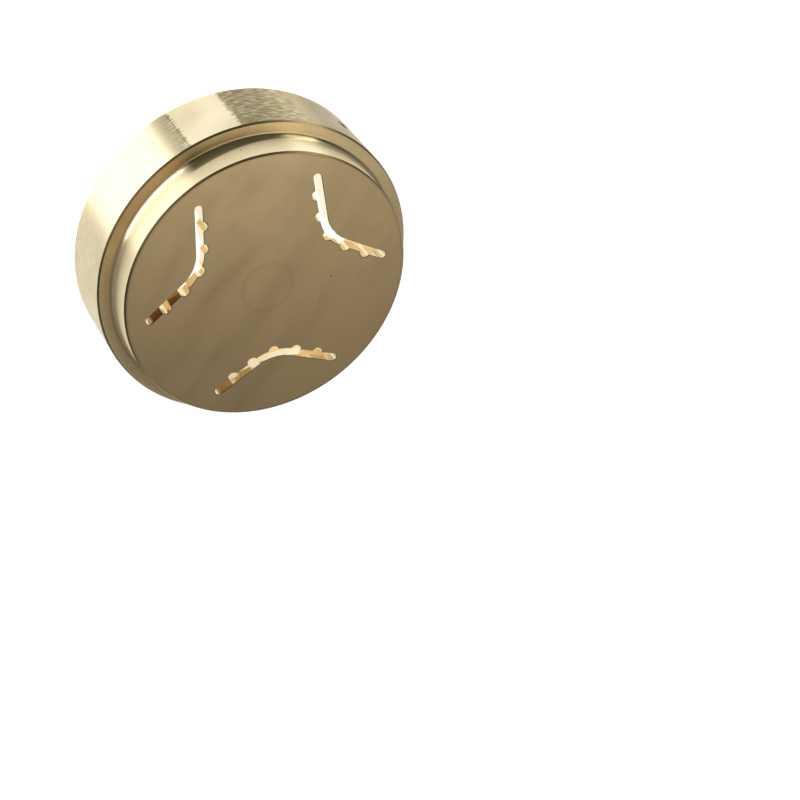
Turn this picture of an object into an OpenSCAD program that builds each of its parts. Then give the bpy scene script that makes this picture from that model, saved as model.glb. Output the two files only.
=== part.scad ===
// Pasta extrusion die for ridged shells, turned from one brass bar.
// Millimetres. Origin at the centre of the back rim, +Z towards the face where the dough comes out.

/* [Body] */
// Outside diameter of the flange
flange_d = 57; // [50:0.5:80]
// Height of the flange, back rim to shoulder
flange_h = 13.3; // [11:0.1:18]
// Width of the shoulder that the ring nut bears on
shoulder_w = 2.75; // [2:0.05:4]
// Height of the spigot above the shoulder
spigot_h = 6; // [5:0.1:9]
// Tool-nose radius left where the spigot meets the shoulder
root_r = 0.8; // [0.4:0.1:1.2]
// Edge break on the front edges of flange and spigot
front_break = 0.3; // [0.1:0.05:0.5]
// Edge break on the back edge of the flange
back_break = 0.5; // [0.2:0.1:0.8]

/* [Feed side] */
// Wall left between the feed recess and the outside of the flange
rim_wall = 5.5; // [5:0.1:7]
// Web left between the recess floor and the front face
web = 4; // [3.8:0.1:6]
// Chamfer round the mouth of the recess
mouth_chamfer = 0.8; // [0.3:0.1:1.5]
// Point angle of the tool that drills the feed pocket behind each slot
pocket_point = 145; // [140:1:160]
// Gap left between a pocket's rim and the recess wall
pocket_gap = 0.3; // [0.3:0.1:1]

/* [Slots] */
// Number of slots round the face
slots = 3; // [1:1:4]
// Angle from +X to the middle of the first slot
slot_turn = 32.8; // [0:0.1:120]
// Width of the slot, which is the thickness of the dough
slot_w = 1.4; // [1:0.05:1.8]
// Tip to tip width of a slot
slot_span = 23.1; // [20:0.1:24]
// Half of the angle between the two arms
slot_half = 64; // [60:0.5:70]
// Radius of the bend along the middle of the slot
slot_bend = 7.5; // [5:0.1:9]
// Gap left between the slot tips and the recess wall
tip_gap = 0.8; // [0.3:0.1:1.5]

/* [Ridges] */
// Radius of the round notches that form the ridges of the shell
notch_r = 0.98; // [0.7:0.02:1.2]
// How far the middle of a notch lies inside the slot's edge
notch_inset = 0.2; // [0:0.05:0.4]
// Spacing of the notches along an arm
notch_pitch = 4.3; // [3.5:0.1:5]
// Notches along each arm, beside the one at the bend
notch_pairs = 2; // [0:1:2]

/* [Locating hole] */
// Diameter of the blind hole for the locating pin
pin_d = 2.2; // [1.6:0.1:3]
// Depth of the straight part of that hole
pin_depth = 3.2; // [2:0.1:3.6]
// Height of the hole's axis above the back rim
pin_h = 6; // [4:0.1:8]
// Angle from +X to the hole
pin_turn = 45.3; // [0:0.1:360]
// Point angle of the drill that makes the hole
drill_point = 118; // [110:1:140]

/* [Hidden] */
$fn = 96;
brass = [0.78, 0.66, 0.42];
// How far a cut runs past the face it opens in
overrun = 0.5;
// How far a pocket's cone starts below the recess floor
pocket_lap = 0.05;
// How far a slot's arm starts inside its bend, and how many degrees the bend runs past its ends
arm_lap = 0.2;
bend_lap = 3;
flange_r = flange_d / 2;
spigot_r = flange_r - shoulder_w;
recess_r = flange_r - rim_wall;
total_h = flange_h + spigot_h;
floor_z = total_h - web;
bend_half = 90 - slot_half;
tip_x = slot_span / 2 - slot_w / 2;
tip_y = sqrt(pow(recess_r - tip_gap - slot_w / 2, 2) - tip_x * tip_x);
arm_l = tip_x / cos(bend_half);
arm_s = slot_bend * tan(bend_half);
corner_y = tip_y - arm_l * sin(bend_half);
bend_y = corner_y + slot_bend / cos(bend_half);
slot_r = bend_y - slot_bend;
pocket_r = recess_r - slot_r - pocket_gap;
pocket_slope = tan(90 - pocket_point / 2);
pocket_h = pocket_r * pocket_slope;
notch_off = slot_w / 2 - notch_inset;
pin_r = pin_d / 2;
pin_tip = pin_r / tan(drill_point / 2);

// Turned outside: flange, shoulder, root radius, spigot and edge breaks.
module turned_body() {
    rotate_extrude() {
        polygon([
            [0, 0],
            [flange_r - back_break, 0],
            [flange_r, back_break],
            [flange_r, flange_h - front_break],
            [flange_r - front_break, flange_h],
            [spigot_r, flange_h],
            [spigot_r, total_h - front_break],
            [spigot_r - front_break, total_h],
            [0, total_h]
        ]);
        difference() {
            translate([spigot_r, flange_h]) square(root_r);
            translate([spigot_r + root_r, flange_h + root_r]) circle(r = root_r);
        }
    }
}

// Feed recess bored from the back, with its mouth chamfer.
module feed_recess() {
    rotate_extrude()
        polygon([
            [0, -overrun],
            [recess_r + mouth_chamfer + overrun, -overrun],
            [recess_r, mouth_chamfer],
            [recess_r, floor_z],
            [0, floor_z]
        ]);
}

// Shallow drilled pocket in the recess floor, deepest behind the slot's bend.
module feed_pocket() {
    translate([0, slot_r, floor_z - pocket_lap])
        cylinder(h = pocket_h + pocket_lap, r1 = pocket_r + pocket_lap / pocket_slope, r2 = 0);
}

// Outline of one slot, its middle on the Y axis and its arms opening outwards.
module slot_outline() {
    translate([0, bend_y]) intersection() {
        difference() {
            circle(r = slot_bend + slot_w / 2);
            circle(r = slot_bend - slot_w / 2);
        }
        polygon([
            [0, 0],
            [-2 * slot_bend * sin(bend_half + bend_lap), -2 * slot_bend * cos(bend_half + bend_lap)],
            [2 * slot_bend * sin(bend_half + bend_lap), -2 * slot_bend * cos(bend_half + bend_lap)]
        ]);
    }
    for (side = [0, 1])
        mirror([side, 0]) translate([0, corner_y]) rotate(bend_half) {
            translate([arm_s - arm_lap, -slot_w / 2]) square([arm_l - arm_s + arm_lap, slot_w]);
            translate([arm_l, 0]) circle(r = slot_w / 2);
            for (k = [1 : 1 : notch_pairs])
                translate([k * notch_pitch, -notch_off]) circle(r = notch_r);
        }
    translate([0, slot_r - notch_off]) circle(r = notch_r);
}

// Blind radial hole with a drill point in the side of the flange.
module pin_hole() {
    rotate([0, 0, pin_turn]) translate([flange_r, 0, pin_h]) rotate([0, -90, 0]) {
        translate([0, 0, -overrun]) cylinder(h = pin_depth + overrun, r = pin_r);
        translate([0, 0, pin_depth]) cylinder(h = pin_tip, r1 = pin_r, r2 = 0);
    }
}

// The whole die, one piece.
module die() {
    color(brass)
        difference() {
            turned_body();
            feed_recess();
            for (k = [0 : slots - 1])
                rotate([0, 0, slot_turn + k * 360 / slots - 90]) {
                    feed_pocket();
                    translate([0, 0, floor_z - overrun])
                        linear_extrude(web + 2 * overrun) slot_outline();
                }
            pin_hole();
        }
}

die();
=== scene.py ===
import math

import bpy
from mathutils import Matrix, Vector


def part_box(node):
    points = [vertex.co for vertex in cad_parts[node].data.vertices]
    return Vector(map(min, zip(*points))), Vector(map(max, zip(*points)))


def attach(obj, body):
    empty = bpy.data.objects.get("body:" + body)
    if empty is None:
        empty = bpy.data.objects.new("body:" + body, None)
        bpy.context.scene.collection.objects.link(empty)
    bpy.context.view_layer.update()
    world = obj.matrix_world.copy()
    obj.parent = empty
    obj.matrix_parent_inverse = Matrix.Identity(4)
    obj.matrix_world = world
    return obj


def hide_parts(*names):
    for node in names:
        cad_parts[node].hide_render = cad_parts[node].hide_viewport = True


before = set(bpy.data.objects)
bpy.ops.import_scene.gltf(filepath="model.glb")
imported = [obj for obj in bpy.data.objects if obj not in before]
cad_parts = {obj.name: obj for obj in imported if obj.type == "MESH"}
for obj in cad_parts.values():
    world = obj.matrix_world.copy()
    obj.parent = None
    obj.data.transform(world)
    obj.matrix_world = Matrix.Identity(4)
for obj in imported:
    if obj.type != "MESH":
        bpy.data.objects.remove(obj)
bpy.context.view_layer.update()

# Turned body
# The die is one piece of brass bar. Its outside is turned to a flange, a shoulder and a spigot, and its
# inside is bored from the back to a feed recess, so one profile, spun round the axis, gives them all.
MM = 0.001
flange_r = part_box("die")[1].x / MM
total_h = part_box("die")[1].z / MM
flange_h = 13.3
shoulder_w = 2.75
root_r = 0.8
root_steps = 8
front_break = 0.3
back_break = 0.5
rim_wall = 5.5
web = 4.0
mouth_chamfer = 0.8
spigot_r = flange_r - shoulder_w
recess_r = flange_r - rim_wall
floor_z = total_h - web

profile = [
    (0, floor_z),
    (recess_r, floor_z),
    (recess_r, mouth_chamfer),
    (recess_r + mouth_chamfer, 0),
    (flange_r - back_break, 0),
    (flange_r, back_break),
    (flange_r, flange_h - front_break),
    (flange_r - front_break, flange_h),
]
for step in range(root_steps + 1):
    swing = math.pi / 2 * step / root_steps
    root_out = root_r * (1 - math.sin(swing))
    root_rise = root_r * (1 - math.cos(swing))
    profile.append((spigot_r + root_out, flange_h + root_rise))
profile += [
    (spigot_r, total_h - front_break),
    (spigot_r - front_break, total_h),
    (0, total_h),
]


def add_node(tree, kind, links=None, **settings):
    """Adds a node, sets its properties, and fills its inputs from values or from other nodes' outputs."""
    node = tree.nodes.new(kind)
    for name, value in settings.items():
        setattr(node, name, value)
    for socket, value in (links or {}).items():
        if isinstance(value, bpy.types.NodeSocket):
            tree.links.new(value, node.inputs[socket])
        else:
            node.inputs[socket].default_value = value
    return node


def maths(tree, operation, first, second=0.0, third=0.0):
    links = {0: first, 1: second, 2: third}
    return add_node(tree, "ShaderNodeMath", links, operation=operation).outputs[0]


def product(tree, first, *others):
    for other in others:
        first = maths(tree, "MULTIPLY", first, other)
    return first


def vectors(tree, operation, first, second=(0, 0, 0), output=0):
    links = {0: first, 1: second}
    return add_node(tree, "ShaderNodeVectorMath", links, operation=operation).outputs[output]


def scaled(tree, vector, amount):
    links = {0: vector, "Scale": amount}
    return add_node(tree, "ShaderNodeVectorMath", links, operation="SCALE").outputs[0]


def soft_step(tree, value, low, high):
    """Rises from 0 at low to 1 at high, or falls where low is the greater."""
    links = {"Value": value, "From Min": low, "From Max": high}
    step = add_node(tree, "ShaderNodeMapRange", links, interpolation_type="SMOOTHSTEP")
    return step.outputs["Result"]


def window(tree, value, span):
    """Rises from a span's start to where it is full, and falls from where it ebbs to its end."""
    start, full, ebb, end = span
    return product(tree, soft_step(tree, value, start, full), soft_step(tree, value, end, ebb))


def noise(tree, place, scale, detail, dimensions="3D"):
    socket = "W" if dimensions == "1D" else "Vector"
    links = {socket: place, "Scale": scale, "Detail": detail}
    return add_node(tree, "ShaderNodeTexNoise", links, noise_dimensions=dimensions).outputs["Fac"]


def blend_values(tree, factor, first, second):
    links = {0: factor, 2: first, 3: second}
    return add_node(tree, "ShaderNodeMix", links, data_type="FLOAT").outputs[0]


def blend_colours(tree, factor, first, second):
    links = {0: factor, 6: first, 7: second}
    return add_node(tree, "ShaderNodeMix", links, data_type="RGBA").outputs[2]


def new_group(name, inputs, outputs):
    """A shader node group, with its input node's outputs and its output node's inputs."""
    group = bpy.data.node_groups.new(name, "ShaderNodeTree")
    for label in inputs:
        kind = "NodeSocketVector" if label == "Place" else "NodeSocketFloat"
        group.interface.new_socket(label, in_out="INPUT", socket_type=kind)
    for label in outputs:
        group.interface.new_socket(label, in_out="OUTPUT", socket_type="NodeSocketFloat")
    return group, add_node(group, "NodeGroupInput").outputs, add_node(group, "NodeGroupOutput").inputs


def placed(tree, group, **links):
    """Places a shader node group in a tree and gives its outputs."""
    return add_node(tree, "ShaderNodeGroup", links, node_tree=group).outputs


lathe_place, given, made = new_group("lathe_place", ["Place"], ["Radius", "Angle", "Height"])
axes = add_node(lathe_place, "ShaderNodeSeparateXYZ", {0: given["Place"]}).outputs
level = vectors(lathe_place, "MULTIPLY", given["Place"], (1, 1, 0))
radius = vectors(lathe_place, "LENGTH", level, output="Value")
degrees = maths(lathe_place, "DEGREES", maths(lathe_place, "ARCTAN2", axes["Y"], axes["X"]))
lathe_place.links.new(radius, made["Radius"])
lathe_place.links.new(maths(lathe_place, "FLOORED_MODULO", degrees, 360.0), made["Angle"])
lathe_place.links.new(axes["Z"], made["Height"])

tool_marks, given, made = new_group("tool_marks", ["Feed", "Place"], ["Grooves"])
no_groove = 0.5
grooves = noise(tool_marks, given["Feed"], scale=0.9, detail=1.0, dimensions="1D")
waver = noise(tool_marks, given["Place"], scale=0.5, detail=2.0)
fade = soft_step(tool_marks, waver, low=0.30, high=0.65)
tool_marks.links.new(blend_values(tool_marks, fade, no_groove, grooves), made["Grooves"])

handling, given, made = new_group("handling", ["Place"], ["Tarnish", "Pits"])
cloud = noise(handling, given["Place"], scale=0.11, detail=5.0)
handling.links.new(soft_step(handling, cloud, low=0.32, high=0.68), made["Tarnish"])
pit_density = 0.42
largest_pit = 0.07
links = {"Vector": given["Place"], "Scale": pit_density}
cells = add_node(handling, "ShaderNodeTexVoronoi", links).outputs
chance = add_node(handling, "ShaderNodeSeparateXYZ", {0: cells["Color"]}).outputs["X"]
pit_size = product(handling, soft_step(handling, chance, low=0.55, high=1.0), largest_pit)
pit_edge = maths(handling, "SUBTRACT", cells["Distance"], pit_size)
handling.links.new(soft_step(handling, pit_edge, low=0.02, high=-0.03), made["Pits"])

# Painted shade on the walls goes by the angle round the axis, in degrees, and by the height above the
# shoulder. A band is a painted dark reflection with the angle that it follows, its span and how dark it is.
# Streaks sway the edges of the bands and give some of them grain.
wall_painted_shade, given, made = new_group("wall_painted_shade", ["Place"], ["Shade"])
polar = placed(wall_painted_shade, lathe_place, Place=given["Place"])
streaks_round = 0.3
streaks_up = 2.6
sway_width = 6.0
streak_x = product(wall_painted_shade, polar["Angle"], streaks_round)
streak_y = product(wall_painted_shade, polar["Height"], streaks_up)
links = {"X": streak_x, "Y": streak_y}
streak_place = add_node(wall_painted_shade, "ShaderNodeCombineXYZ", links).outputs[0]
streaks = noise(wall_painted_shade, streak_place, scale=1.0, detail=2.0)
sway = maths(wall_painted_shade, "MULTIPLY_ADD", streaks, sway_width, -sway_width / 2)
swayed_angle = maths(wall_painted_shade, "ADD", polar["Angle"], sway)
# Painted dark reflections: bands round the flange wall where it would mirror shade on the table.
painted_reflection_bands = [
    (swayed_angle, (12, 60, 91.5, 93.0), 1.0),
    (polar["Angle"], (84.4, 84.7, 84.8, 85.1), 1.0),
    (swayed_angle, (110.4, 111.2, 113, 121), 0.72),
    (polar["Angle"], (110.9, 111.2, 111.3, 111.6), 1.0),
    (swayed_angle, (146, 164, 190, 215), 0.36),
]
wall_shade = 0.0
for where, span, strength in painted_reflection_bands:
    band = product(wall_painted_shade, window(wall_painted_shade, where, span), strength)
    wall_shade = maths(wall_painted_shade, "MAXIMUM", band, wall_shade)
pale_streak, dark_streak, even_band = 0.6, 1.1, 0.8
streaky_span = (60, 74, 165, 190)
edge_fade = 0.1
streak_step = soft_step(wall_painted_shade, streaks, low=0.36, high=0.60)
streaked = blend_values(wall_painted_shade, streak_step, pale_streak, dark_streak)
streaky = window(wall_painted_shade, polar["Angle"], streaky_span)
grain = blend_values(wall_painted_shade, streaky, even_band, streaked)
on_flange = soft_step(wall_painted_shade, polar["Height"], low=flange_h, high=flange_h - edge_fade)
wall_shade = product(wall_painted_shade, wall_shade, grain, on_flange)

above_root = maths(wall_painted_shade, "SUBTRACT", polar["Height"], flange_h)
# Painted shade: a dark wedge at the foot of the spigot, taller towards the highlight.
root_shade_low, root_shade_high = 0.4, 2.4
root_shade_span = (30, 60, 113, 118)
climb = soft_step(wall_painted_shade, polar["Angle"], low=58, high=116)
root_shade_h = blend_values(wall_painted_shade, climb, root_shade_low, root_shade_high)
over_root_shade = maths(wall_painted_shade, "SUBTRACT", above_root, root_shade_h)
painted_root_shade = product(
    wall_painted_shade,
    soft_step(wall_painted_shade, over_root_shade, low=0.3, high=-0.3),
    soft_step(wall_painted_shade, above_root, low=-0.05, high=0.05),
    window(wall_painted_shade, polar["Angle"], root_shade_span),
)
# Painted shade: a thin dark line in the root where the spigot meets the shoulder.
line_rise = (-0.02, 0.0, 0.03, 0.09)
line_span = (110, 122, 172, 186)
root_shade_line = product(
    wall_painted_shade,
    window(wall_painted_shade, above_root, line_rise),
    window(wall_painted_shade, polar["Angle"], line_span),
)
# Painted shade: the spigot wall is darkened on the side away from the highlight.
spigot_shade_span = (15, 40, 60, 76)
spigot_shade_strength = 0.25
spigot_shade = product(
    wall_painted_shade,
    window(wall_painted_shade, polar["Angle"], spigot_shade_span),
    spigot_shade_strength,
    soft_step(wall_painted_shade, above_root, low=0.4, high=1.2),
)
for mark in (painted_root_shade, root_shade_line, spigot_shade):
    wall_shade = maths(wall_painted_shade, "MAXIMUM", wall_shade, mark)
wall_painted_shade.links.new(wall_shade, made["Shade"])

pit_brown = (0.16, 0.11, 0.055, 1)
groove_share = 0.3


def brass_finish(name, bright, dull, roughness, feed, depth, anisotropy=0.0, marked=None, shaded=None):
    """Brass with tool marks along feed, which is Radius on a flat and Height on a wall, with wear, and with
    painted shade and marks from a marked group, blended toward the shaded colour.
    """
    material = bpy.data.materials.new(name)
    material.use_nodes = True
    tree = material.node_tree
    shader = tree.nodes["Principled BSDF"]
    shader.inputs["Metallic"].default_value = 1.0
    shader.inputs["Anisotropic"].default_value = anisotropy
    place = scaled(tree, add_node(tree, "ShaderNodeTexCoord").outputs["Object"], 1 / MM)
    polar = placed(tree, lathe_place, Place=place)
    lines = placed(tree, tool_marks, Place=place, Feed=polar[feed])["Grooves"]
    wear = placed(tree, handling, Place=place)
    tone = blend_values(tree, groove_share, wear["Tarnish"], lines)
    colour = blend_colours(tree, tone, bright, dull)
    if marked:
        shade = placed(tree, marked, Place=place)["Shade"]
        colour = blend_colours(tree, shade, colour, shaded)
    colour = blend_colours(tree, wear["Pits"], colour, pit_brown)
    relief = maths(tree, "SUBTRACT", lines, wear["Pits"])
    bump = add_node(tree, "ShaderNodeBump", {"Height": relief, "Strength": 1.0, "Distance": depth * MM})
    tree.links.new(colour, shader.inputs["Base Color"])
    tree.links.new(blend_values(tree, wear["Tarnish"], *roughness), shader.inputs["Roughness"])
    tree.links.new(bump.outputs[0], shader.inputs["Normal"])
    if anisotropy:
        axis = add_node(tree, "ShaderNodeCombineXYZ", {"Z": 1.0}).outputs[0]
        tree.links.new(axis, shader.inputs["Tangent"])
    return material


wall_look = {
    "roughness": (0.30, 0.36),
    "feed": "Height",
    "depth": 0.002,
    "anisotropy": 1.0,
    "marked": wall_painted_shade,
    "shaded": (0.28, 0.23, 0.115, 1),
}
turned_brass = brass_finish(
    "turned_brass",
    bright=(0.97, 0.87, 0.61, 1),
    dull=(0.92, 0.80, 0.53, 1),
    **wall_look,
)
spigot_brass = brass_finish(
    "spigot_brass",
    bright=(0.97, 0.85, 0.56, 1),
    dull=(0.92, 0.78, 0.48, 1),
    **wall_look,
)
bored_brass = brass_finish(
    "bored_brass",
    bright=(0.86, 0.69, 0.39, 1),
    dull=(0.76, 0.57, 0.29, 1),
    roughness=(0.30, 0.44),
    feed="Height",
    depth=0.003,
)
# Painted shade: the edge breaks are a near-black brass, standing in for the dark lines along the edges.
shaded_edge_brass = brass_finish(
    "shaded_edge_brass",
    bright=(0.26, 0.185, 0.09, 1),
    dull=(0.19, 0.13, 0.06, 1),
    roughness=(0.29, 0.35),
    feed="Height",
    depth=0.001,
)

die_tree = bpy.data.node_groups.new("slotted_die", "GeometryNodeTree")
die_tree.interface.new_socket("Profile", in_out="INPUT", socket_type="NodeSocketGeometry")
die_tree.interface.new_socket("Die", in_out="OUTPUT", socket_type="NodeSocketGeometry")
die_sizes = {}


def size_inputs(sizes):
    """Adds sizes to the die's tree as named inputs, and gives the outputs that carry all of them so far."""
    for label, value in sizes.items():
        kind = "NodeSocketInt" if isinstance(value, int) else "NodeSocketFloat"
        die_tree.interface.new_socket(label, in_out="INPUT", socket_type=kind)
    die_sizes.update(sizes)
    return add_node(die_tree, "NodeGroupInput").outputs


def shape(kind, links=None, output=0, **settings):
    """A node of the die's tree, by one of its outputs."""
    return add_node(die_tree, kind, links, **settings).outputs[output]


def triple(x=0.0, y=0.0, z=0.0):
    return shape("ShaderNodeCombineXYZ", {"X": x, "Y": y, "Z": z})


def moved(geometry, place=(0, 0, 0), turn=(0, 0, 0)):
    return shape("GeometryNodeTransform", {0: geometry, "Translation": place, "Rotation": turn})


def joined(*geometries):
    join = add_node(die_tree, "GeometryNodeJoinGeometry")
    for geometry in geometries:
        die_tree.links.new(geometry, join.inputs[0])
    return join.outputs[0]


def finished(geometry, material, region=True):
    return shape("GeometryNodeSetMaterial", {0: geometry, "Selection": region, "Material": material})


body_sizes = {
    "Segments": 240,
    "Root Middle": (flange_h + root_r / 2) * MM,
    "Root Half": root_r / 2 * MM,
}
size = size_inputs(body_sizes)
weld = 0.001 * MM
spin_r = 10 * MM
outline = shape("GeometryNodeMeshToCurve", {0: size["Profile"]})
outline = moved(outline, (-spin_r, 0, 0), (math.pi / 2, 0, 0))
links = {"Resolution": size["Segments"], "Radius": spin_r}
ring = shape("GeometryNodeCurvePrimitiveCircle", links)
skin = shape("GeometryNodeCurveToMesh", {"Curve": ring, "Profile Curve": outline})
skin = shape("GeometryNodeMergeByDistance", {"Geometry": skin, "Distance": weld})
body = shape("GeometryNodeFlipFaces", {0: skin})

slope_up, slope_spread = 0.7, 0.1
back_limit = -0.1
facing = shape("GeometryNodeInputNormal")
spot = shape("GeometryNodeInputPosition")
height = shape("ShaderNodeSeparateXYZ", {0: spot}, "Z")
from_axis = vectors(die_tree, "NORMALIZE", vectors(die_tree, "MULTIPLY", spot, (1, 1, 0)))
up = shape("ShaderNodeSeparateXYZ", {0: facing}, "Z")
outward = vectors(die_tree, "DOT_PRODUCT", facing, from_axis, output="Value")
faces_back = maths(die_tree, "LESS_THAN", maths(die_tree, "MINIMUM", up, outward), back_limit)
off_slope = maths(die_tree, "ABSOLUTE", maths(die_tree, "SUBTRACT", up, slope_up))
slopes = maths(die_tree, "LESS_THAN", off_slope, slope_spread)
from_root = maths(die_tree, "SUBTRACT", height, size["Root Middle"])
off_root = maths(die_tree, "GREATER_THAN", maths(die_tree, "ABSOLUTE", from_root), size["Root Half"])
edge_break = product(die_tree, slopes, off_root)
over_shoulder = maths(die_tree, "ADD", from_root, size["Root Half"])
above_shoulder = maths(die_tree, "GREATER_THAN", over_shoulder, weld)
body = finished(body, turned_brass)
body = finished(body, spigot_brass, above_shoulder)
body = finished(body, shaded_edge_brass, edge_break)
body = finished(body, bored_brass, faces_back)

# Slots and feed pockets
# Three bent slots are cut through the web. Round notches down the inner side of each one form ridges in the
# dough, its front edge is broken, and a shallow pocket, drilled into the recess floor behind it, feeds it.
slots = 3
slot_turn = 32.8
slot_w = 1.4
slot_span = 23.1
slot_half = 64
slot_bend = 7.5
slot_break = 0.12
tip_gap = 0.8
bend_half = math.radians(90 - slot_half)
tip_x = slot_span / 2 - slot_w / 2
tip_y = math.sqrt((recess_r - tip_gap - slot_w / 2) ** 2 - tip_x**2)
corner_y = tip_y - tip_x * math.tan(bend_half)
slot_r = corner_y + slot_bend / math.cos(bend_half) - slot_bend
notch_r = 0.98
notch_inset = 0.2
notch_pitch = 4.3
notch_pairs = 2
pocket_point = 145
pocket_gap = 0.3
pocket_lap = 0.05
pocket_slope = math.tan(math.radians(90 - pocket_point / 2))
pocket_r = recess_r - slot_r - pocket_gap + pocket_lap / pocket_slope

slot_sizes = {
    "Floor Height": floor_z * MM,
    "Face Height": total_h * MM,
    "Slots": slots,
    "Slot Turn": math.radians(slot_turn - 90),
    "Slot Width": slot_w * MM,
    "Slot Break": slot_break * MM,
    "Tip X": tip_x * MM,
    "Tip Y": tip_y * MM,
    "Corner Y": corner_y * MM,
    "Bend Radius": slot_bend * MM,
    "Bend Saving": slot_bend * (math.tan(bend_half) - bend_half) * MM,
    "Notch Radius": notch_r * MM,
    "Notch Offset": (slot_w / 2 - notch_inset) * MM,
    "Notch Pitch": notch_pitch * MM,
    "Notch Pairs": notch_pairs,
    "Pocket Place": slot_r * MM,
    "Pocket Radius": pocket_r * MM,
    "Pocket Height": pocket_r * pocket_slope * MM,
    "Pocket Lap": pocket_lap * MM,
}
size = size_inputs(slot_sizes)

# Painted shade: the slot walls of the lower-left arms are darkened to brown, standing in for dark
# reflections deep in the slots.
slot_arm_shade, given, made = new_group("slot_arm_shade", ["Place"], ["Shade"])
polar = placed(slot_arm_shade, lathe_place, Place=given["Place"])
arm_shade_span = (162, 173, 205, 280)
arm_shade = product(
    slot_arm_shade,
    window(slot_arm_shade, polar["Angle"], arm_shade_span),
    soft_step(slot_arm_shade, polar["Radius"], low=11.5, high=14.5),
)
slot_arm_shade.links.new(arm_shade, made["Shade"])
arm_shade_brown = (0.30, 0.185, 0.09, 1)
cut_look = {
    "bright": (0.82, 0.79, 0.63, 1),
    "dull": (0.70, 0.62, 0.43, 1),
    "roughness": (0.08, 0.18),
    "feed": "Height",
    "depth": 0.001,
}
cut_brass = brass_finish("cut_brass", **cut_look)
shaded_arm_brass = brass_finish("shaded_arm_brass", marked=slot_arm_shade, shaded=arm_shade_brown, **cut_look)

overrun = 1.0 * MM
cut_low = maths(die_tree, "SUBTRACT", size["Floor Height"], overrun)
cut_high = maths(die_tree, "ADD", size["Face Height"], overrun)
cut_depth = maths(die_tree, "SUBTRACT", cut_high, cut_low)
cut_middle = product(die_tree, maths(die_tree, "ADD", cut_high, cut_low), 0.5)
flare_h = product(die_tree, size["Slot Break"], 2.0)
flare_low = maths(die_tree, "SUBTRACT", size["Face Height"], size["Slot Break"])
hole_sides = 48


def round_cutter(radius):
    """Cuts a round hole through the web and breaks its front edge."""
    links = {"Vertices": hole_sides, "Radius": radius, "Depth": cut_depth}
    hole = shape("GeometryNodeMeshCylinder", links)
    wide = maths(die_tree, "ADD", radius, flare_h)
    links = {"Vertices": hole_sides, "Radius Top": wide, "Radius Bottom": radius, "Depth": flare_h}
    flare = shape("GeometryNodeMeshCone", links)
    cutter = joined(moved(hole, triple(z=cut_middle)), moved(flare, triple(z=flare_low)))
    return finished(cutter, cut_brass)


bend_steps = 24
tip_left = triple(x=product(die_tree, size["Tip X"], -1.0), y=size["Tip Y"])
tip_right = triple(x=size["Tip X"], y=size["Tip Y"])
straight = shape("GeometryNodeCurvePrimitiveLine", {"Start": tip_left, "End": tip_right})
halved = shape("GeometryNodeSubdivideCurve", {"Curve": straight, "Cuts": 1})
index = shape("GeometryNodeInputIndex")
at_corner = shape("FunctionNodeCompare", {2: index, 3: 1}, data_type="INT", operation="EQUAL")
links = {"Geometry": halved, "Selection": at_corner, "Position": triple(y=size["Corner Y"])}
bent = shape("GeometryNodeSetPosition", links)
links = {"Curve": bent, "Count": bend_steps, "Radius": size["Bend Radius"]}
rounded = shape("GeometryNodeFilletCurve", links, mode="POLY")
path = shape("GeometryNodeSetCurveNormal", {"Curve": rounded}, mode="Z_UP")

links = {"Width": size["Slot Width"], "Height": cut_depth}
web_cut = shape("GeometryNodeCurvePrimitiveQuadrilateral", links)
web_cut = moved(web_cut, triple(y=product(die_tree, cut_middle, -1.0)))
flare_wide = maths(die_tree, "MULTIPLY_ADD", flare_h, 2.0, size["Slot Width"])
links = {
    "Height": flare_h,
    "Bottom Width": flare_wide,
    "Top Width": size["Slot Width"],
    "Offset": 0.0,
}
flare_cut = shape("GeometryNodeCurvePrimitiveQuadrilateral", links, mode="TRAPEZOID")
flare_cut = moved(flare_cut, triple(y=product(die_tree, size["Face Height"], -1.0)))
links = {"Curve": path, "Profile Curve": joined(web_cut, flare_cut), "Fill Caps": True}
strip = finished(shape("GeometryNodeCurveToMesh", links), shaded_arm_brass)

tips = shape("GeometryNodeCurveEndpointSelection", {"Start Size": 1, "End Size": 1})
tip_cutter = round_cutter(product(die_tree, size["Slot Width"], 0.5))
links = {"Points": path, "Selection": tips, "Instance": tip_cutter}
ends = shape("GeometryNodeInstanceOnPoints", links)

notch_count = maths(die_tree, "MULTIPLY_ADD", size["Notch Pairs"], 2.0, 1.0)
notch_line = shape("GeometryNodeMeshLine", {"Count": notch_count})
rank = maths(die_tree, "SUBTRACT", index, size["Notch Pairs"])
arm_reach = product(die_tree, maths(die_tree, "ABSOLUTE", rank), size["Notch Pitch"])
path_reach = maths(die_tree, "SUBTRACT", arm_reach, size["Bend Saving"])
reach = product(die_tree, path_reach, maths(die_tree, "SIGN", rank))
path_length = shape("GeometryNodeCurveLength", {0: path})
along = maths(die_tree, "MULTIPLY_ADD", path_length, 0.5, reach)
links = {"Curves": path, "Length": along}
on_path = add_node(die_tree, "GeometryNodeSampleCurve", links, mode="LENGTH").outputs
inward = scaled(die_tree, on_path["Normal"], size["Notch Offset"])
notch_place = vectors(die_tree, "ADD", on_path["Position"], inward)
notch_points = shape("GeometryNodeSetPosition", {"Geometry": notch_line, "Position": notch_place})
links = {"Points": notch_points, "Instance": round_cutter(size["Notch Radius"])}
notches = shape("GeometryNodeInstanceOnPoints", links)
slot_cutter = shape("GeometryNodeRealizeInstances", {0: joined(strip, ends, notches)})

pocket_sides = 128
links = {
    "Vertices": pocket_sides,
    "Radius Bottom": size["Pocket Radius"],
    "Depth": size["Pocket Height"],
}
pocket = shape("GeometryNodeMeshCone", links)
pocket_low = maths(die_tree, "SUBTRACT", size["Floor Height"], size["Pocket Lap"])
pocket = moved(pocket, triple(y=size["Pocket Place"], z=pocket_low))

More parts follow.
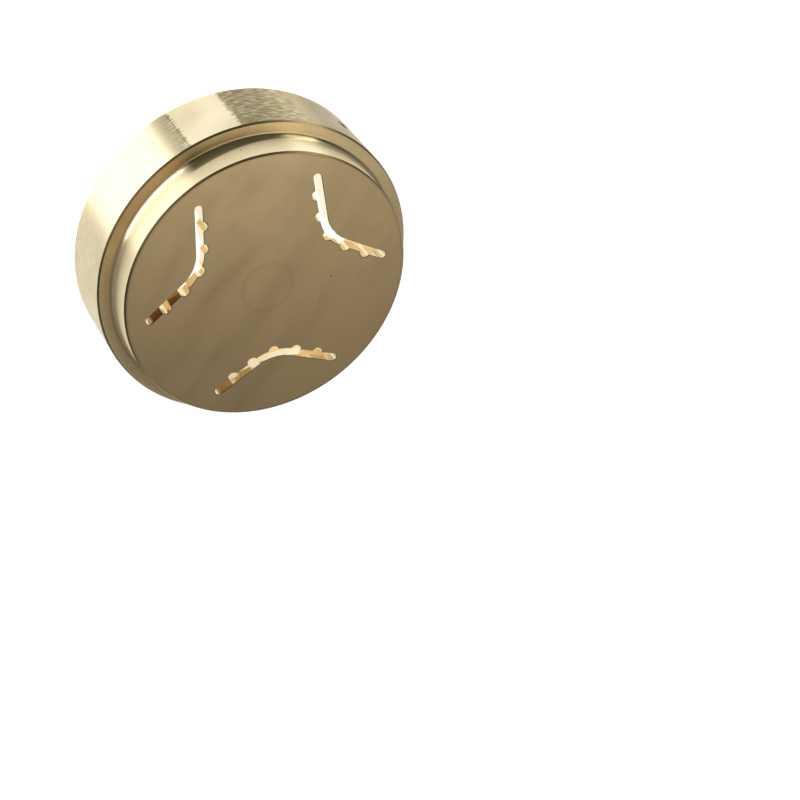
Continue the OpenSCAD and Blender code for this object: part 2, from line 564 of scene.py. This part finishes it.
slot_points = shape("GeometryNodeMeshLine", {"Count": size["Slots"], "Offset": (0, 0, 0)})
slot_step = maths(die_tree, "DIVIDE", 2 * math.pi, size["Slots"])
slot_angle = maths(die_tree, "MULTIPLY_ADD", index, slot_step, size["Slot Turn"])
links = {
    "Points": slot_points,
    "Instance": joined(slot_cutter, finished(pocket, bored_brass)),
    "Rotation": shape("FunctionNodeEulerToRotation", {0: triple(z=slot_angle)}),
}
slot_ring = shape("GeometryNodeInstanceOnPoints", links)

# Locating hole
# A blind hole drilled into the side of the flange, where a pin in the socket keeps the die from turning.
# It is a drilling in the same brass, left as drilled, and painted near-black inside as shade in the hole.
pin_r = 1.1
pin_depth = 3.2
pin_h = 6.0
pin_turn = 45.3
drill_point = 118
drill_slope = math.tan(math.radians(90 - drill_point / 2))

hole_sizes = {
    "Flange Radius": flange_r * MM,
    "Pin Radius": pin_r * MM,
    "Pin Depth": pin_depth * MM,
    "Pin Point": pin_r * drill_slope * MM,
    "Pin Height": pin_h * MM,
    "Pin Turn": math.radians(pin_turn),
}
size = size_inputs(hole_sizes)

# Painted shade: the hole's walls are a near-black brass.
shaded_hole_brass = brass_finish(
    "shaded_hole_brass",
    bright=(0.16, 0.11, 0.05, 1),
    dull=(0.10, 0.07, 0.03, 1),
    roughness=(0.34, 0.44),
    feed="Height",
    depth=0.001,
)
bore_length = product(die_tree, size["Pin Depth"], 2.0)
links = {"Vertices": hole_sides, "Radius": size["Pin Radius"], "Depth": bore_length}
bore = shape("GeometryNodeMeshCylinder", links, fill_type="TRIANGLE_FAN")
bore_spot = shape("GeometryNodeInputPosition")
bore_level = vectors(die_tree, "MULTIPLY", bore_spot, (1, 1, 0))
bore_out = vectors(die_tree, "LENGTH", bore_level, output="Value")
bore_height = shape("ShaderNodeSeparateXYZ", {0: bore_spot}, "Z")
at_axis = maths(die_tree, "LESS_THAN", bore_out, weld)
at_end = maths(die_tree, "GREATER_THAN", bore_height, 0.0)
links = {
    "Geometry": bore,
    "Selection": product(die_tree, at_axis, at_end),
    "Offset": triple(z=size["Pin Point"]),
}
pin_hole = finished(shape("GeometryNodeSetPosition", links), shaded_hole_brass)
pin_mouth = triple(x=size["Flange Radius"], z=size["Pin Height"])
pin_hole = moved(pin_hole, pin_mouth, (0, -math.pi / 2, 0))
pin_hole = moved(pin_hole, turn=triple(z=size["Pin Turn"]))

# Finished die
# The slots, pockets and hole are cut out of the turned body, and its face and shoulder get their finish
# last: smears of use and a painted dark rim on the face, and painted shade with specks on the shoulder.
# The plain mesh that comes out of the tree stands for the CAD die.
face_smears_and_rim_shade, given, made = new_group("face_smears_and_rim_shade", ["Place"], ["Shade"])
polar = placed(face_smears_and_rim_shade, lathe_place, Place=given["Place"])
smear_strength, ring_strength, wipe_strength, rim_shade_strength = 0.4, 0.25, 0.45, 0.8
links = {"Vector": given["Place"], "Rotation": (0, 0, math.radians(52)), "Scale": (4, 1, 1)}
smear_place = add_node(face_smears_and_rim_shade, "ShaderNodeMapping", links, vector_type="TEXTURE").outputs[0]
smear_cloud = noise(face_smears_and_rim_shade, smear_place, scale=0.12, detail=3.0)
smear = soft_step(face_smears_and_rim_shade, smear_cloud, low=0.40, high=0.68)
ring_span = (3.9, 4.6, 4.6, 5.3)
face_r = spigot_r - front_break
# Painted shade: a dark band on the face along its rim, beside the edge break.
rim_w = 0.5
rim_span = (face_r - rim_w, face_r, face_r, spigot_r)
ring_mark = window(face_smears_and_rim_shade, polar["Radius"], ring_span)
painted_rim_shade = window(face_smears_and_rim_shade, polar["Radius"], rim_span)
links = {
    "Vector": given["Place"],
    "Location": (-7.4, 3.8, total_h),
    "Rotation": (0, 0, math.radians(39)),
    "Scale": (11, 2.6, 1),
}
wipe_place = add_node(face_smears_and_rim_shade, "ShaderNodeMapping", links, vector_type="TEXTURE").outputs[0]
from_wipe = vectors(face_smears_and_rim_shade, "LENGTH", wipe_place, output="Value")
wipe_mark = soft_step(face_smears_and_rim_shade, from_wipe, low=1.0, high=0.1)
ringed = product(face_smears_and_rim_shade, ring_mark, ring_strength)
smeared = maths(face_smears_and_rim_shade, "MULTIPLY_ADD", smear, smear_strength, ringed)
wiped = maths(face_smears_and_rim_shade, "MULTIPLY_ADD", wipe_mark, wipe_strength, smeared)
rim_shaded = product(face_smears_and_rim_shade, painted_rim_shade, rim_shade_strength)
face_smears_and_rim_shade.links.new(maths(face_smears_and_rim_shade, "MAXIMUM", wiped, rim_shaded), made["Shade"])

shoulder_shade_and_specks, given, made = new_group("shoulder_shade_and_specks", ["Place"], ["Shade"])
polar = placed(shoulder_shade_and_specks, lathe_place, Place=given["Place"])
# Painted shade: the shoulder is darkened where it would mirror the spigot's highlight, with fine specks all
# round.
shoulder_shade_span = (100, 120, 144, 160)
speck_strength = 0.12
shoulder_shade = window(shoulder_shade_and_specks, polar["Angle"], shoulder_shade_span)
speck_cloud = noise(shoulder_shade_and_specks, given["Place"], scale=2.0, detail=3.0)
specks = soft_step(shoulder_shade_and_specks, speck_cloud, low=0.35, high=0.65)
specks = product(shoulder_shade_and_specks, specks, speck_strength)
shoulder_shade_and_specks.links.new(maths(shoulder_shade_and_specks, "MAXIMUM", shoulder_shade, specks), made["Shade"])

faced_brass = brass_finish(
    "faced_brass",
    bright=(0.86, 0.63, 0.325, 1),
    dull=(0.74, 0.535, 0.27, 1),
    roughness=(0.285, 0.335),
    feed="Radius",
    depth=0.0006,
    marked=face_smears_and_rim_shade,
    shaded=(0.54, 0.40, 0.21, 1),
)
shoulder_brass = brass_finish(
    "shoulder_brass",
    bright=(0.88, 0.68, 0.38, 1),
    dull=(0.80, 0.61, 0.33, 1),
    roughness=(0.30, 0.38),
    feed="Radius",
    depth=0.0006,
    marked=shoulder_shade_and_specks,
    shaded=(0.40, 0.285, 0.165, 1),
)

cutters = shape("GeometryNodeRealizeInstances", {0: joined(slot_ring, pin_hole)})
links = {"Mesh 1": body, "Mesh 2": cutters, "Self Intersection": True}
cut_body = shape("GeometryNodeMeshBoolean", links, operation="DIFFERENCE", solver="EXACT")
cut_body = shape("GeometryNodeMergeByDistance", {"Geometry": cut_body, "Distance": weld})
soft_limit = math.radians(15)
soft_edge = maths(die_tree, "LESS_THAN", shape("GeometryNodeInputMeshEdgeAngle"), soft_limit)
cut_body = shape("GeometryNodeSetShadeSmooth", {0: cut_body, "Shade Smooth": True}, domain="FACE")
links = {0: cut_body, "Shade Smooth": soft_edge}
cut_body = shape("GeometryNodeSetShadeSmooth", links, domain="EDGE")
front_limit = 0.9
faces_up = maths(die_tree, "GREATER_THAN", up, front_limit)
below_root = maths(die_tree, "LESS_THAN", height, size["Root Middle"])
on_shoulder = product(die_tree, faces_up, below_root)
whole = shape("GeometryNodeRealizeInstances", {0: cut_body})
whole = finished(whole, faced_brass, faces_up)
whole = finished(whole, shoulder_brass, on_shoulder)
add_node(die_tree, "NodeGroupOutput", {0: whole})

profile_points = [(r * MM, 0, z * MM) for r, z in profile]
profile_edges = [(k, k + 1) for k in range(len(profile) - 1)]
profile_mesh = bpy.data.meshes.new("die_profile")
profile_mesh.from_pydata(profile_points, profile_edges, [])
spun = bpy.data.objects.new("die_profile", profile_mesh)
bpy.context.scene.collection.objects.link(spun)
maker = spun.modifiers.new("slotted_die", "NODES")
maker.node_group = die_tree
for item in die_tree.interface.items_tree:
    if item.name in die_sizes:
        maker[item.identifier] = die_sizes[item.name]
graph = bpy.context.evaluated_depsgraph_get()
die_mesh = bpy.data.meshes.new_from_object(spun.evaluated_get(graph), depsgraph=graph)
bpy.data.objects.remove(spun)
turned_die = bpy.data.objects.new("turned_die", die_mesh)
bpy.context.scene.collection.objects.link(turned_die)
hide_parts("die")
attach(turned_die, "root")

# Studio floor
# A plain table top that the die lies on. It has a matt pale coat and a glow of its own, so that it reads
# as bare white from above and through the slots.
floor_half = 1.5
floor_corners = [(-1, -1), (1, -1), (1, 1), (-1, 1)]
floor_points = [(x * floor_half, y * floor_half, 0) for x, y in floor_corners]
floor_mesh = bpy.data.meshes.new("floor")
floor_mesh.from_pydata(floor_points, [], [(0, 1, 2, 3)])
floor = bpy.data.objects.new("floor", floor_mesh)
bpy.context.scene.collection.objects.link(floor)
pale = bpy.data.materials.new("pale_floor")
pale.use_nodes = True
pale_shader = pale.node_tree.nodes["Principled BSDF"]
pale_shader.inputs["Base Color"].default_value = (0.8, 0.8, 0.8, 1)
pale_shader.inputs["Roughness"].default_value = 0.9
pale_shader.inputs["Emission Color"].default_value = (1, 1, 1, 1)
pale_shader.inputs["Emission Strength"].default_value = 0.9
floor_mesh.materials.append(pale)

# Studio light
# Soft boxes stand round the die at the heights that give its walls their bands. Each one is a flat panel
# that faces the die's foot, and a weak even sky fills what they leave.


def soft_box(name, azimuth, elevation, distance, width, height, power):
    light = bpy.data.lights.new(name, "AREA")
    light.shape = "RECTANGLE"
    light.size = width
    light.size_y = height
    light.energy = power
    lamp = bpy.data.objects.new(name, light)
    bpy.context.scene.collection.objects.link(lamp)
    turn, rise = math.radians(azimuth), math.radians(elevation)
    level = math.cos(rise)
    away = Vector((math.cos(turn) * level, math.sin(turn) * level, math.sin(rise)))
    lamp.location = away * distance
    lamp.rotation_euler = (-lamp.location).to_track_quat("-Z", "Y").to_euler()


soft_box("key", azimuth=144, elevation=8, distance=0.9, width=0.88, height=0.2, power=7.6)
soft_box("fill", azimuth=42, elevation=10, distance=0.9, width=0.3, height=0.2, power=2)
soft_box("top", azimuth=332, elevation=73.5, distance=0.9, width=0.5, height=0.5, power=1.06)

world = bpy.data.worlds.new("studio")
bpy.context.scene.world = world
world.use_nodes = True
sky = world.node_tree.nodes["Background"]
sky.inputs["Color"].default_value = (1.0, 1.0, 1.0, 1)
sky.inputs["Strength"].default_value = 0.13

# Camera
# Stands where the photograph was taken from: over the face, to one side, and rolled a little. Its place
# and its three directions were fitted to the edges of the flange, the spigot and the face.
camera_data = bpy.data.cameras.new("camera")
camera_data.sensor_width = 36.0
camera_data.lens = 96.75
camera_data.clip_start = 0.01
camera = bpy.data.objects.new("camera", camera_data)
bpy.context.scene.collection.objects.link(camera)
camera_right = Vector((0.91016, 0.0, 0.41426))
camera_up = Vector((0.24226, 0.81118, -0.53226))
camera_back = Vector((-0.33604, 0.58480, 0.73830))
camera_place = Vector((-107.98, 199.91, 311.24)) * MM
camera_turn = Matrix((camera_right, camera_up, camera_back)).transposed()
camera.matrix_world = Matrix.Translation(camera_place) @ camera_turn.to_4x4()
bpy.context.scene.camera = camera
bpy.context.scene.view_settings.view_transform = "Standard"
